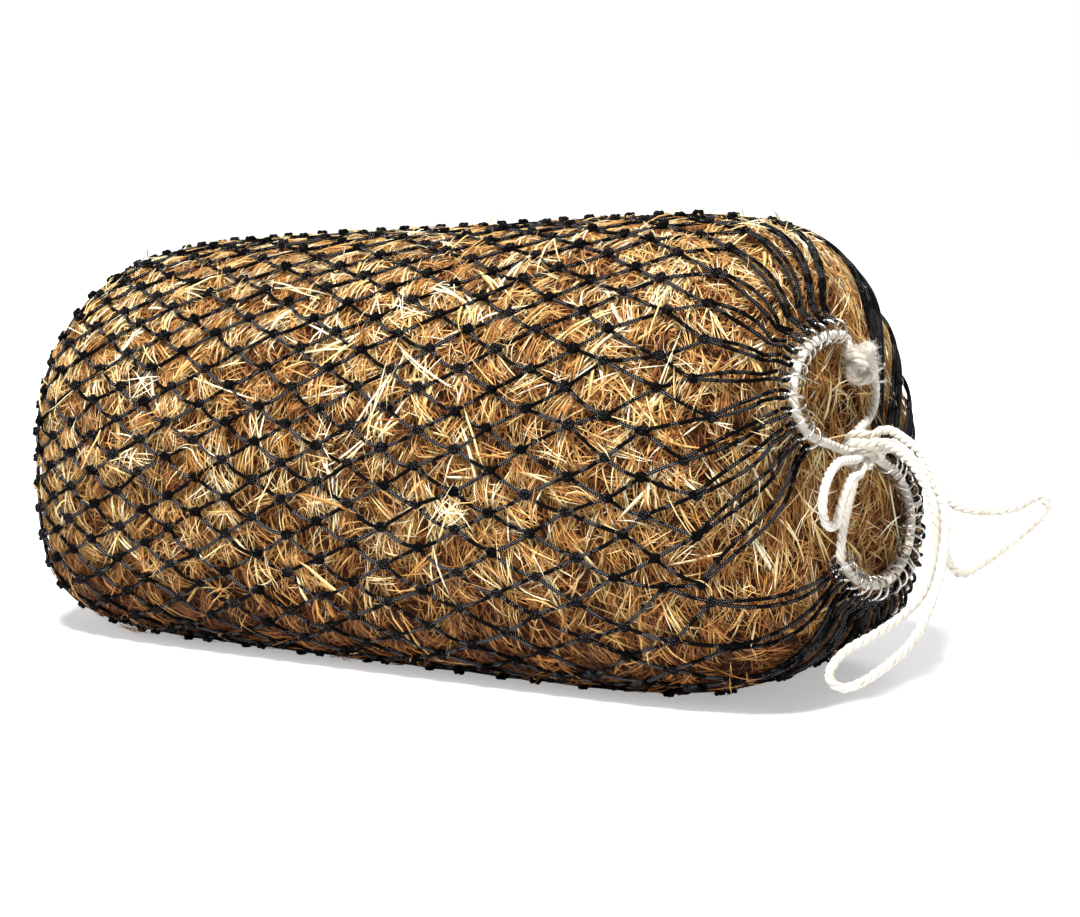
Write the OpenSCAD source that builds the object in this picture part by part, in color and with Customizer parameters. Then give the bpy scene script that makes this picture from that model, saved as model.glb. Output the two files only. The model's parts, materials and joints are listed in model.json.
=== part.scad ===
// Hay net: a bag of knotted cord, stuffed with hay and lying on its side.
// The closed end is gathered on a closing cord. The mouth is held by steel rings, which slide on a
// draw rope that crosses over into a figure of eight and is tied off in the middle with a hitch.
// Millimetres, +Z up. The origin is the middle of the flat patch the net rests on, and +X runs
// from the closed end to the mouth.

/* [Filled bag] */
// Length over the netting, from the closed end to the mouth
bag_length = 900; // [700:1100]
// Width over the netting
bag_width = 445; // [350:550]
// Height over the netting at mid length
bag_height = 444; // [350:550]
// Share by which the mouth end is taller than the middle
mouth_swell = 0.078; // [0:0.01:0.15]
// Slope of the mouth face, which bulges out at its foot
mouth_lean = 0.154; // [0:0.01:0.3]
// Share by which the underside rises to the mouth
mouth_tuck = 0.17; // [0:0.01:0.25]
// Squareness of the two ends
end_squareness = 6.5; // [3:0.5:10]
// Squareness of the underside, which settles on the floor
underside_squareness = 3.9; // [2:0.1:6]
// Depth of hay pressed flat by the floor
flattening = 6; // [0:12]
// Gap kept between the cords and the plain solid that stands for the hay
hay_inset = 6.5; // [4:0.5:10]

/* [Netting] */
// Number of meshes around the bag
meshes_around = 38; // [24:48]
// Half rows of meshes from the closing cord to the last knots
half_rows = 28; // [20:36]
// Half rows that belong to the gathered closed end
end_rows = 8; // [4:12]
// Thickness of a cord
cord_depth = 2.6; // [2:0.1:4]
// Distance along the bag from the closed pole to the first knots
first_knots = 44; // [38:60]
// Distance along the bag from the closed pole to the last knots
last_knots = 1000; // [850:1050]
// How much wider the meshes are pulled open towards the mouth; 1 keeps them even
mesh_opening = 1.287; // [1:0.001:1.5]
// Radius of the closing cord's loop
closing_radius = 36; // [25:40]
// Diameter of the closing cord
closing_cord_diameter = 4; // [3:0.5:6]

/* [Rings and rope] */
// Outside diameter of a steel ring
ring_outside = 25; // [20:32]
// Wire diameter of a ring
ring_wire = 2; // [1.5:0.1:3]
// Rings on the upper loop of rope
upper_count = 15; // [8:18]
// Diameter of the draw rope
rope_diameter = 9; // [6:12]
// Height of the rope's centre line over the mouth face
rope_lift = 9; // [7:14]

/* [Hidden] */
$fn = 32;
ring_radius = (ring_outside - ring_wire) / 2;
rope_radius = rope_diameter / 2;
lower_count = meshes_around - upper_count;
// distance from the rope's centre to a ring's centre, with the rope inside the ring's inner edge
ring_offset = ring_radius - ring_wire / 2 - rope_radius - 2.6;
lean_angle = atan(mouth_lean);
mouth_centre = [bag_length / 2, 0, bag_height * (1 + mouth_swell) / 2];
// loops of the figure of eight on the mouth face: [y, up, half width, half height]
upper_loop = [-54, 64, 96, 53];
lower_loop = [-3, -72, 93, 60];
// where the rings stand on each loop, as angles from +Y round to up; the end knot fills the gap
end_knot_at = [-5, 86];
upper_angles = concat([-2, 11], [for (i = [0:upper_count - 3]) 80 + 142 * i / (upper_count - 3)]);
lower_angles = [for (i = [0:lower_count - 1]) 60 - 217 * i / (lower_count - 1)];
// the first mesh, counted round from the top, that hangs on the upper loop
first_upper_mesh = -3;
// the hitch's place on the mouth face
hitch_at = [-30, 2];

// ---- shape of the filled bag ----

// Height of the bag at station u, which is -1 at the closed end and +1 at the mouth.
function height_at(u) = bag_height * (1 + mouth_swell * u);

// How much of its depth the lower half keeps at station u; it tucks up just before the mouth.
function tucked(u) = 1 - mouth_tuck * pow(max(u, 0), 6);

// Radius of the cross-section at angle a, as a share: round above and squarer below.
function outline(a) =
    let (e = sin(a) < 0 ? underside_squareness : 2)
    pow(pow(abs(cos(a)), e) + pow(abs(sin(a)), e), -1 / e);

// The other coordinate of a point on the squared profile of length against girth.
function partner(v) = pow(max(0, 1 - pow(abs(v), end_squareness)), 1 / end_squareness);

// A point on the bag at station u, girth g (0 on the axis, 1 full) and angle a round +X.
function bag_point(u, g, a, inset = 0, floor_z = 0) =
    let (
        half_z = height_at(u) / 2,
        reach_z = sin(a) < 0 ? (half_z + flattening - inset) * tucked(u) : half_z - inset,
        z = half_z + outline(a) * g * sin(a) * reach_z
    )
    [
        u * (bag_length / 2 - inset) - mouth_lean * (z - half_z) * max(u, 0),
        outline(a) * g * cos(a) * (bag_width / 2 - inset),
        max(z, floor_z)
    ];

// Profile from the closed pole to the mouth pole, as pairs of station and girth.
corner = pow(0.5, 1 / end_squareness);
cap_steps = 8;
side_steps = 10;
function eased(t) = sin(90 * t);
profile = concat(
    [for (i = [0:cap_steps - 1]) let (g = corner * eased(i / cap_steps)) [-partner(g), g]],
    [for (i = [0:side_steps]) let (u = corner * eased(2 * i / side_steps - 1)) [u, partner(u)]],
    [for (i = [cap_steps - 1:-1:0]) let (g = corner * eased(i / cap_steps)) [partner(g), g]]
);

// Distance from the profile point before i to point i, on the bag's side.
function profile_step(i) =
    let (here = profile[min(i, len(profile) - 1)], before = profile[i - 1])
    norm(bag_point(here[0], here[1], 180) - bag_point(before[0], before[1], 180));
profile_distance = [for (i = 0, s = 0; i < len(profile); i = i + 1, s = s + profile_step(i)) s];
u_table = [for (i = [0:len(profile) - 1]) [profile_distance[i], profile[i][0]]];
g_table = [for (i = [0:len(profile) - 1]) [profile_distance[i], profile[i][1]]];
// distance from the closed pole as a function of girth, on the mouth face alone
mouth_table = [for (i = [len(profile) - 1:-1:cap_steps + side_steps]) [profile[i][1], profile_distance[i]]];

// Angle round the bag at share w of the girth, counted from the top over the front (-Y).
girth_steps = 60;
function girth_step(i) =
    norm(bag_point(0, 1, 90 + 360 * i / girth_steps) - bag_point(0, 1, 90 + 360 * (i + 1) / girth_steps));
girth_distance = [for (i = 0, s = 0; i <= girth_steps; s = s + girth_step(i), i = i + 1) s];
girth = girth_distance[girth_steps];
angle_table = [for (i = [0:girth_steps]) [girth_distance[i] / girth, 90 + 360 * i / girth_steps]];
function angle_at(w) = lookup(w - floor(w), angle_table) + 360 * floor(w);

// A point on the bag at distance s from the closed pole and share w round the girth.
function bag_at(s, w) = bag_point(lookup(s, u_table), lookup(s, g_table), angle_at(w));

function unit(v) = v / norm(v);

// Directions on the bag's surface: [towards the mouth, onward round the girth, outward].
function directions(s, w) =
    let (
        along = unit(bag_at(s + 3, w) - bag_at(s - 3, w)),
        round = unit(bag_at(s, w + 0.003) - bag_at(s, w - 0.003))
    )
    [along, round, unit(cross(round, along))];

// ---- knotted netting ----

knot_half_length = 2.7;
knot_half_width = 1.7;

// Every other half row is shifted by half a mesh; the odd ones have a knot at the very bottom.
function shifted(i) = (i + 1) % 2;

// Share of the girth at knot j of half row i.
function knot_share(i, j) = (j + shifted(i) / 2) / meshes_around;
function knot_distance(i) =
    first_knots + (last_knots - first_knots) * pow(i / half_rows, mesh_opening);

// One knot: corners up, on, down and back seen from outside, then its point towards the hay.
function knot(i, j, shortened) =
    let (
        s = knot_distance(i) - shortened,
        p = bag_at(s, knot_share(i, j)),
        d = directions(s, knot_share(i, j))
    )
    [
        p - knot_half_width * d[1],
        p + knot_half_length * d[0],
        p + knot_half_width * d[1],
        p - knot_half_length * d[0],
        p - cord_depth * d[2]
    ];

function halves(q) = [[q[0], q[1], q[2]], [q[0], q[2], q[3]]];

// The three sides of one cord between two knots, given its edges at each.
function cord_faces(a_left, a_right, a_deep, b_left, b_right, b_deep) =
    concat(
        halves([a_left, b_left, b_right, a_right]),
        halves([b_left, a_left, a_deep, b_deep]),
        halves([a_right, b_right, b_deep, a_deep])
    );

// Netting between two half rows, as one closed lattice of welded cords. Its last row can stop
// short, which keeps it clear of the same row in the next piece.
module netting(from_row, to_row, gap = 0) {
    last = to_row - from_row;
    knots = [
        for (i = [0:last], j = [0:meshes_around - 1])
            knot(from_row + i, j, i == last ? gap : 0)
    ];
    points = [for (k = knots, p = k) p];

    function id(i, j, c) = 5 * (i * meshes_around + (j + meshes_around) % meshes_around) + c;

    knot_faces = [
        for (i = [0:last], j = [0:meshes_around - 1])
            each halves([id(i, j, 0), id(i, j, 1), id(i, j, 2), id(i, j, 3)])
    ];
    upward_cords = [
        for (i = [0:last - 1], j = [0:meshes_around - 1])
            let (k = j - 1 + shifted(from_row + i))
            each cord_faces(id(i, j, 0), id(i, j, 1), id(i, j, 4), id(i + 1, k, 3), id(i + 1, k, 2), id(i + 1, k, 4))
    ];
    downward_cords = [
        for (i = [0:last - 1], j = [0:meshes_around - 1])
            let (k = j + shifted(from_row + i))
            each cord_faces(id(i, j, 1), id(i, j, 2), id(i, j, 4), id(i + 1, k, 0), id(i + 1, k, 3), id(i + 1, k, 4))
    ];
    edge_faces = [
        for (j = [0:meshes_around - 1])
            each [
                [id(last, j, 1), id(last, j, 0), id(last, j, 4)],
                [id(last, j, 2), id(last, j, 1), id(last, j, 4)],
                [id(0, j, 0), id(0, j, 3), id(0, j, 4)],
                [id(0, j, 3), id(0, j, 2), id(0, j, 4)]
            ]
    ];
    polyhedron(points, concat(knot_faces, upward_cords, downward_cords, edge_faces), convexity = 10);
}

// ---- tubes along a path ----

function path_direction(path, i) =
    let (last = len(path) - 1)
    unit(path[min(i + 1, last)] - path[max(min(i, last) - 1, 0)]);

// Part of v that is square to t, one long.
function square_to(v, t) = unit(v - (v * t) * t);

// A solid tube with flat ends along a path. Its corners are carried along without twisting.
module tube(path, radius, sides = 6) {
    count = len(path);
    start = path_direction(path, 0);
    seed = square_to(abs(start[2]) < 0.7 ? [0, 0, 1] : [1, 0, 0], start);
    carried = [
        for (i = 0, a = seed; i < count; a = square_to(a, path_direction(path, i + 1)), i = i + 1) a
    ];
    points = [
        for (i = [0:count - 1], k = [0:sides - 1])
            let (
                a = carried[i],
                b = cross(path_direction(path, i), a)
            )
            path[i] + radius * (cos(360 * k / sides) * a + sin(360 * k / sides) * b)
    ];
    walls = [
        for (i = [0:count - 2], k = [0:sides - 1])
            each halves([
                i * sides + k,
                i * sides + (k + 1) % sides,
                (i + 1) * sides + (k + 1) % sides,
                (i + 1) * sides + k
            ])
    ];
    near_end = [for (k = [sides - 1:-1:0]) k];
    far_end = [for (k = [0:sides - 1]) (count - 1) * sides + k];
    polyhedron(points, concat(walls, [near_end], [far_end]), convexity = 10);
}

// A smooth curve through the given points, n steps between each pair.
function smooth_curve(p, n) =
    [
        for (i = [0:len(p) - 2], k = [0:n - 1])
            let (
                t = k / n,
                before = p[max(i - 1, 0)],
                after = p[min(i + 2, len(p) - 1)]
            )
            0.5 * (2 * p[i] + (p[i + 1] - before) * t
                + (2 * before - 5 * p[i] + 4 * p[i + 1] - after) * t * t
                + (3 * p[i] - before - 3 * p[i + 1] + after) * t * t * t),
        p[len(p) - 1]
    ];

// ---- mouth ----

// Stands its children on the mouth face: local +X out of the face, +Y across it, +Z up it.
module on_mouth_face() {
    translate(mouth_centre)
        rotate([0, -lean_angle, 0])
            children();
}

// The same place as a function, from [y, up] and a height over the face.
function face_point(at, lift) =
    mouth_centre + [
        lift * cos(lean_angle) - at[1] * sin(lean_angle),
        at[0],
        lift * sin(lean_angle) + at[1] * cos(lean_angle)
    ];

function loop_point(loop, b) = [loop[0] + loop[2] * cos(b), loop[1] + loop[3] * sin(b)];
function loop_outward(loop, b) = unit([cos(b) / loop[2], sin(b) / loop[3]]);

// Steel rings threaded on one loop of the rope, each pulled outward by its mesh.
module rings(loop, angles) {
    on_mouth_face()
        for (b = angles) {
            outward = loop_outward(loop, b);
            at = loop_point(loop, b) + ring_offset * outward;
            translate([rope_lift, at[0], at[1]])
                rotate([atan2(outward[1], outward[0]), 0, 0])
                    rotate_extrude()
                        translate([ring_radius, 0])
                            circle(d = ring_wire);
        }
}

// Place on the bag under a point of the mouth face, as [distance from the closed pole, angle].
function under_face(at) =
    let (
        y = at[0] / (bag_width / 2),
        z = at[1] * cos(lean_angle) / mouth_centre[2] / (at[1] < 0 ? tucked(1) : 1),
        a = atan2(z, y)
    )
    [lookup(norm([y, z]) / outline(a), mouth_table), a];

// The centre line of a cord of a long mesh lies in the netting's own thickness.
function on_netting(s, a) = bag_point(lookup(s, u_table), lookup(s, g_table), a, cord_depth / 2, cord_depth / 2);

// One side of a long mesh, from its knot over the shoulder to its ring.
function mesh_side(j, end, side) =
    let (
        s0 = knot_distance(half_rows) + 5,
        a0 = angle_at(knot_share(half_rows, j)),
        turn = end[1] - a0 - 360 * round((end[1] - a0) / 360)
    )
    [
        for (t = [0, 0.12, 0.27, 0.5, 1])
            let (
                s = s0 + (end[0] - s0) * t,
                a = a0 + turn * t * t * (3 - 2 * t),
                p = on_netting(s, a)
            )
            p + side * unit(on_netting(s, a + 1) - p) * (1.8 + 1.8 * t)
    ];

// One long mesh: from its knot to its ring, through the ring and back to the knot.
module mouth_mesh(j, loop, b) {
    outward = loop_outward(loop, b);
    along = [-outward[1], outward[0]];
    wire_at = loop_point(loop, b) + (ring_offset + ring_radius) * outward;
    end = under_face(wire_at + 18 * outward);
    reach = ring_wire / 2 + cord_depth / 2 + 0.8;
    // steps through the ring: [outward from the wire, share of the reach along the rope, height]
    hook = [
        for (h = [[7, 1, 0.5], [-1, 0.9, 0.9], [-4.5, 0, 1], [-1, -0.9, 0.9], [7, -1, 0.5]])
            face_point(wire_at + h[0] * outward + h[1] * reach * along, rope_lift * h[2])
    ];
    back = mesh_side(j, end, -1);
    tube(concat(mesh_side(j, end, 1), hook, [for (k = [len(back) - 1:-1:0]) back[k]]), cord_depth / 2, 3);
}

// ---- draw rope ----

// Rope along one loop of the figure of eight between two of its angles.
function loop_path(loop, from, to, steps) =
    [for (i = [0:steps]) face_point(loop_point(loop, from + (to - from) * i / steps), rope_lift)];

// A bight of rope that leaves the hitch and comes back to it.
module bight(points, steps) {
    tube(smooth_curve(points, steps), rope_radius, 6);
}

// ---- nodes ----

module hay_fill() {
    columns = 40;
    inner = len(profile) - 2;
    rings_of_points = [
        for (i = [1:inner], k = [0:columns - 1])
            bag_point(profile[i][0], profile[i][1], 360 * k / columns, hay_inset, cord_depth + 0.6)
    ];
    poles = [bag_point(-1, 0, 0, hay_inset), bag_point(1, 0, 0, hay_inset)];
    sides = [
        for (i = [0:inner - 2], k = [0:columns - 1])
            each halves([
                i * columns + k,
                (i + 1) * columns + k,
                (i + 1) * columns + (k + 1) % columns,
                i * columns + (k + 1) % columns
            ])
    ];
    first = inner * columns;
    caps = [
        for (k = [0:columns - 1])
            each [
                [first, k, (k + 1) % columns],
                [first + 1, (inner - 1) * columns + (k + 1) % columns, (inner - 1) * columns + k]
            ]
    ];
    color("#b98a4a")
        polyhedron(concat(rings_of_points, poles), concat(sides, caps), convexity = 4);
}

module side_netting() {
    color("#1c1b1d")
        netting(end_rows, half_rows);
}

module closed_end_netting() {
    color("#242326")
        netting(0, end_rows, 2 * knot_half_length + 1);
}

// A loop of cord drawn through the first meshes at the closed end.
module closing_cord() {
    color("#101012")
        translate([-bag_length / 2 - 1, 0, height_at(-1) / 2])
            rotate([0, 90, 0])
                rotate_extrude($fn = 72)
                    translate([closing_radius, 0])
                        circle(d = closing_cord_diameter);
}

module upper_mouth_meshes() {
    color("#1c1b1d")
        for (i = [0:upper_count - 1])
            mouth_mesh(first_upper_mesh + i, upper_loop, upper_angles[i]);
}

module lower_mouth_meshes() {
    color("#1c1b1d")
        for (i = [0:lower_count - 1])
            mouth_mesh(first_upper_mesh - 1 - i, lower_loop, lower_angles[i]);
}

module upper_rings() {
    color("#c9ccd0")
        rings(upper_loop, upper_angles);
}

module lower_rings() {
    color("#c9ccd0")
        rings(lower_loop, lower_angles);
}

// The upper loop runs from the hitch round to the end knot, and its short end back to the hitch.
module upper_rope_loop() {
    color("#f1efe8") {
        tube(
            concat(
                [face_point(hitch_at + [-21, 1], rope_lift), face_point(hitch_at + [-50, 8], rope_lift)],
                loop_path(upper_loop, 240, 70, 18)
            ),
            rope_radius, 8
        );
        tube(
            concat(
                [face_point(end_knot_at + [30, 4], rope_lift)],
                loop_path(upper_loop, 22, -28, 5),
                [face_point([10, 27], rope_lift), face_point(hitch_at + [14, 18], rope_lift)]
            ),
            rope_radius, 8
        );
    }
}

// The lower loop runs from the hitch round its rings, and its front leg climbs back to the hitch.
module lower_rope_loop() {
    color("#f1efe8")
        tube(
            concat(
                [face_point(hitch_at + [21, 0], rope_lift)],
                loop_path(lower_loop, 66, -160, 26),
                [face_point([-70, -60], rope_lift), face_point(hitch_at + [-7, -23], rope_lift)]
            ),
            rope_radius, 8
        );
}

// An overhand knot in the end of the rope, drawn up into a ball.
module rope_end_knot() {
    knot_size = 5.8;
    path = [
        for (i = [0:29])
            let (t = 12 * i - 6)
            face_point(
                end_knot_at + knot_size * [sin(t) + 2 * sin(2 * t), cos(t) - 2 * cos(2 * t)],
                rope_lift + 8 - 9 * sin(3 * t)
            )
    ];
    color("#f1efe8")
        tube(path, rope_radius * 0.88, 6);
}

// The hitch: turns of rope wound round the legs where the figure of eight crosses.
module rope_hitch() {
    turns = 3;
    coil = [
        for (i = [0:turns * 10])
            let (t = 36 * i)
            face_point(
                hitch_at + [10.5 * sin(t), (i / (turns * 10) - 0.5) * turns * (rope_diameter + 0.6)],
                rope_lift + 6 + 10.5 * cos(t)
            )
    ];
    core = [for (v = [-18, -6, 6, 18]) face_point(hitch_at + [0, v], rope_lift + 6)];
    color("#f1efe8") {
        tube(coil, rope_radius, 6);
        tube(core, rope_radius, 6);
    }
}

module small_bow_loop() {
    points = [
        face_point(hitch_at + [-24, -4], rope_lift + 13),
        face_point([-100, -2], rope_lift + 15),
        face_point([-135, -14], rope_lift + 17),
        face_point([-150, -36], rope_lift + 16),
        face_point([-140, -55], rope_lift + 13),
        face_point([-120, -58], rope_lift + 13),
        face_point([-108, -36], rope_lift + 18),
        face_point([-84, -20], rope_lift + 18),
        face_point(hitch_at + [-25, -18], rope_lift + 15)
    ];
    color("#f1efe8")
        bight(points, 3);
}

// A point given by a step [x, y, z] from the middle of the hitch.
function from_hitch(step) = face_point(hitch_at, rope_lift + 6) + step;

module long_rope_loop() {
    steps = [
        [22, -3, 10], [52, -16, 2], [76, -32, -15], [98, -48, -46], [102, -58, -84], [98, -72, -118],
        [84, -88, -139], [64, -106, -156], [44, -124, -170], [34, -137, -186], [38, -142, -198],
        [52, -136, -202], [74, -118, -188], [98, -96, -160], [110, -76, -120], [114, -62, -79],
        [106, -46, -38], [78, -24, 0], [48, -6, 16], [24, 6, 21]
    ];
    color("#f1efe8")
        bight([for (step = steps) from_hitch(step)], 2);
}

module outer_rope_loop() {
    steps = [
        [28, 22, 6], [56, 28, -22], [80, 32, -48], [110, 34, -55], [146, 34, -49], [170, 34, -36],
        [178, 34, -46], [166, 34, -62], [140, 34, -86], [112, 34, -108], [92, 36, -118], [76, 42, -104],
        [68, 46, -74], [54, 46, -38], [42, 44, -16], [26, 38, 0]
    ];
    color("#f1efe8")
        bight([for (step = steps) from_hitch(step)], 2);
}

hay_fill();
side_netting();
closed_end_netting();
closing_cord();
upper_mouth_meshes();
lower_mouth_meshes();
upper_rings();
lower_rings();
upper_rope_loop();
lower_rope_loop();
rope_end_knot();
rope_hitch();
small_bow_loop();
long_rope_loop();
outer_rope_loop();
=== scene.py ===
"""Looks of the hay net: hay, knotted netting, steel rings and the cotton draw rope.

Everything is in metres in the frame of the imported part: +Z up, +X from the closed end to the mouth.
"""
import json
import math

import bpy
import numpy as np
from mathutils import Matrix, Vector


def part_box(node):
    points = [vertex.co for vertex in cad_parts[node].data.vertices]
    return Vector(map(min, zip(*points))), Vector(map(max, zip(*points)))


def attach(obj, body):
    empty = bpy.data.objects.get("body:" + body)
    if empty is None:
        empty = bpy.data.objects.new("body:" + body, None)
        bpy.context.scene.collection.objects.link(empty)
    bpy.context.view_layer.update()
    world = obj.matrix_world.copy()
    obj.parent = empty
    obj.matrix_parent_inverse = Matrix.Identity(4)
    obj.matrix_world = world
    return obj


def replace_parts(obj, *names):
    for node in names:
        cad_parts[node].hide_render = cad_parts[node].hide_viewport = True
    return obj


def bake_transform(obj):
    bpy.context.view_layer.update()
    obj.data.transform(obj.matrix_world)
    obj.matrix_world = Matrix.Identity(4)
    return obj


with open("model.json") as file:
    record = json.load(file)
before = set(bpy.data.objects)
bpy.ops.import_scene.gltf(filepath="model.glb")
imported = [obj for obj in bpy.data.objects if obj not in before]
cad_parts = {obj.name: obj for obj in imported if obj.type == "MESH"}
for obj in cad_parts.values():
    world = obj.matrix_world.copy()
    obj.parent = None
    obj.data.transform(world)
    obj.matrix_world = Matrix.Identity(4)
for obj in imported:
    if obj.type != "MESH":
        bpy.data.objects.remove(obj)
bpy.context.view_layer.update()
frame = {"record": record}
joints = {joint["name"]: joint for joint in frame["record"]["behaviour"]["joints"]}
MM = 0.001

# ---- the filled bag, as the CAD shapes it ----

SWELL = 0.078            # share by which the mouth end is taller than the middle
LEAN = 0.154             # slope of the mouth face
END_POWER = 6.5          # squareness of the ends
UNDER_POWER = 3.9        # squareness of the underside
FLATTENING = 6 * MM      # hay pressed flat by the floor
TUCK = 0.17              # share by which the underside rises to the mouth
MESHES = 38              # meshes round the bag
ROWS = 28                # half rows of meshes
END_ROWS = 8             # half rows on the closed end
FIRST_ROW = 0.0353       # first and last knots, as shares of the way over the bag
LAST_ROW = 0.8016
OPENING = 1.287          # how much wider the meshes are pulled open towards the mouth
CORD = 2.0 * MM          # radius of the netting's cord

closing_low, closing_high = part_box("closing_cord")
net_low, net_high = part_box("side_netting")
LENGTH = -2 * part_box("closed_end_netting")[0].x
WIDTH = net_high.y - net_low.y
HEIGHT = (closing_low.z + closing_high.z) / (1 - SWELL)


def unit(v):
    return v / np.maximum(np.linalg.norm(v, axis=-1, keepdims=True), 1e-12)


def smoothstep(low, high, x):
    t = np.clip((x - low) / (high - low), 0, 1)
    return t * t * (3 - 2 * t)


def depth_below(u, half):
    """Depth of the lower half, which settles on the floor and tucks up just before the mouth."""
    return (half + FLATTENING) * (1 - TUCK * np.maximum(u, 0) ** 6)


def bag_point(u, g, a):
    """Points on the bag at station u (-1 closed end, 1 mouth), girth g and angle a round +X."""
    half = HEIGHT * (1 + SWELL * u) / 2
    below = np.sin(a) < 0
    e = np.where(below, UNDER_POWER, 2.0)
    outline = (np.abs(np.cos(a)) ** e + np.abs(np.sin(a)) ** e) ** (-1 / e)
    z = half + outline * g * np.sin(a) * np.where(below, depth_below(u, half), half)
    x = u * LENGTH / 2 - LEAN * (z - half) * np.maximum(u, 0)
    y = outline * g * np.cos(a) * WIDTH / 2
    return np.stack([x, y, np.maximum(z, 0)], axis=-1)


def bag_share(p):
    """How far out points are (1 on the bag), with their station, girth and angle."""
    x, y, z = p[..., 0], p[..., 1], p[..., 2]
    u = x / (LENGTH / 2)
    for _ in range(3):
        half = HEIGHT * (1 + SWELL * np.clip(u, -1, 1)) / 2
        u = (x + LEAN * (z - half) * np.maximum(u, 0)) / (LENGTH / 2)
    v = y / (WIDTH / 2)
    h = (z - half) / np.where(z < half, depth_below(u, half), half)
    e = np.where(h < 0, UNDER_POWER, 2.0)
    g = (np.abs(v) ** e + np.abs(h) ** e) ** (1 / e)
    share = (np.abs(u) ** END_POWER + g ** END_POWER) ** (1 / END_POWER)
    return share, u, g, np.arctan2(h, v)


# tables that turn distances over the bag into station and girth, and distances round it into angles
sweep = np.linspace(0, math.pi, 2001)
profile_u = -np.sign(np.cos(sweep)) * np.abs(np.cos(sweep)) ** (2 / END_POWER)
profile_g = np.abs(np.sin(sweep)) ** (2 / END_POWER)
side_line = bag_point(profile_u, profile_g, np.full_like(sweep, math.pi))
profile_s = np.concatenate([[0], np.cumsum(np.linalg.norm(np.diff(side_line, axis=0), axis=1))])
profile_turn = np.arctan2(profile_g, -profile_u)
TOTAL = profile_s[-1]
round_angle = np.radians(np.linspace(90, 450, 361))
round_line = bag_point(np.zeros(361), np.ones(361), round_angle)
round_s = np.concatenate([[0], np.cumsum(np.linalg.norm(np.diff(round_line, axis=0), axis=1))])
round_share = round_s / round_s[-1]


def over_bag(s, w):
    """Points at distance s from the closed pole and share w of the way round, from the top over -Y."""
    turns = np.floor(w)
    a = np.interp(w - turns, round_share, round_angle) + 2 * math.pi * turns
    return bag_point(np.interp(s, profile_s, profile_u), np.interp(s, profile_s, profile_g), a)


def surface(s, w, lift=0.0):
    """Points over the bag, lifted off it, and the directions along it, round it and outward."""
    along = unit(over_bag(s + 2 * MM, w) - over_bag(s - 2 * MM, w))
    around = unit(over_bag(s, w + 0.003) - over_bag(s, w - 0.003))
    outward = unit(np.cross(around, along))
    points = over_bag(s, w) + np.asarray(lift)[..., None] * outward
    return points, along, around, outward


def nearest(p, rounds=2):
    """Points moved straight onto the bag, with their s, w and outward direction."""
    step = 0.2 * MM
    for _ in range(rounds):
        share = bag_share(p)[0]
        rises = [bag_share(p + step * axis)[0] - bag_share(p - step * axis)[0] for axis in np.eye(3)]
        slope = np.stack([rise / (2 * step) for rise in rises], axis=-1)
        p = p - ((share - 1) / np.sum(slope * slope, axis=-1))[..., None] * slope
    _, u, g, a = bag_share(p)
    s = np.interp(np.arctan2(g, -u), profile_turn, profile_s)
    w = np.interp(np.mod(a - math.pi / 2, 2 * math.pi) + math.pi / 2, round_angle, round_share)
    return p, s, w, unit(slope)


def row_distance(i):
    return TOTAL * (FIRST_ROW + (LAST_ROW - FIRST_ROW) * (i / ROWS) ** OPENING)


def mesh_bulge(s, w):
    """1 in the middle of a mesh and 0 under its cords; even all over the mouth, which has no meshes."""
    share = np.maximum(s / TOTAL - FIRST_ROW, 0) / (LAST_ROW - FIRST_ROW)
    row = ROWS * share ** (1 / OPENING)
    across, down = w * MESHES - row / 2, w * MESHES + row / 2
    bulge = np.abs(np.cos(math.pi * across) * np.cos(math.pi * down))
    return np.where(row > ROWS + 0.5, 0.55, bulge)


# ---- mesh building ----


def make_mesh(name, points, quads, uvs, tint, material):
    """A smooth mesh object of quads, with its UV layers and one tint per point."""
    mesh = bpy.data.meshes.new(name)
    mesh.vertices.add(len(points))
    mesh.vertices.foreach_set("co", points.astype(np.float32).ravel())
    mesh.loops.add(quads.size)
    mesh.loops.foreach_set("vertex_index", quads.astype(np.int32).ravel())
    mesh.polygons.add(len(quads))
    mesh.polygons.foreach_set("loop_start", np.arange(0, quads.size, 4, dtype=np.int32))
    mesh.update(calc_edges=True)
    for layer_name, uv in uvs.items():
        layer = mesh.uv_layers.new(name=layer_name)
        layer.uv.foreach_set("vector", uv.astype(np.float32).ravel())
    mesh.attributes.new("tint", "FLOAT", "POINT").data.foreach_set("value", tint.astype(np.float32))
    mesh.shade_smooth()
    mesh.materials.append(material)
    obj = bpy.data.objects.new(name, mesh)
    bpy.context.scene.collection.objects.link(obj)
    return obj


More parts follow.
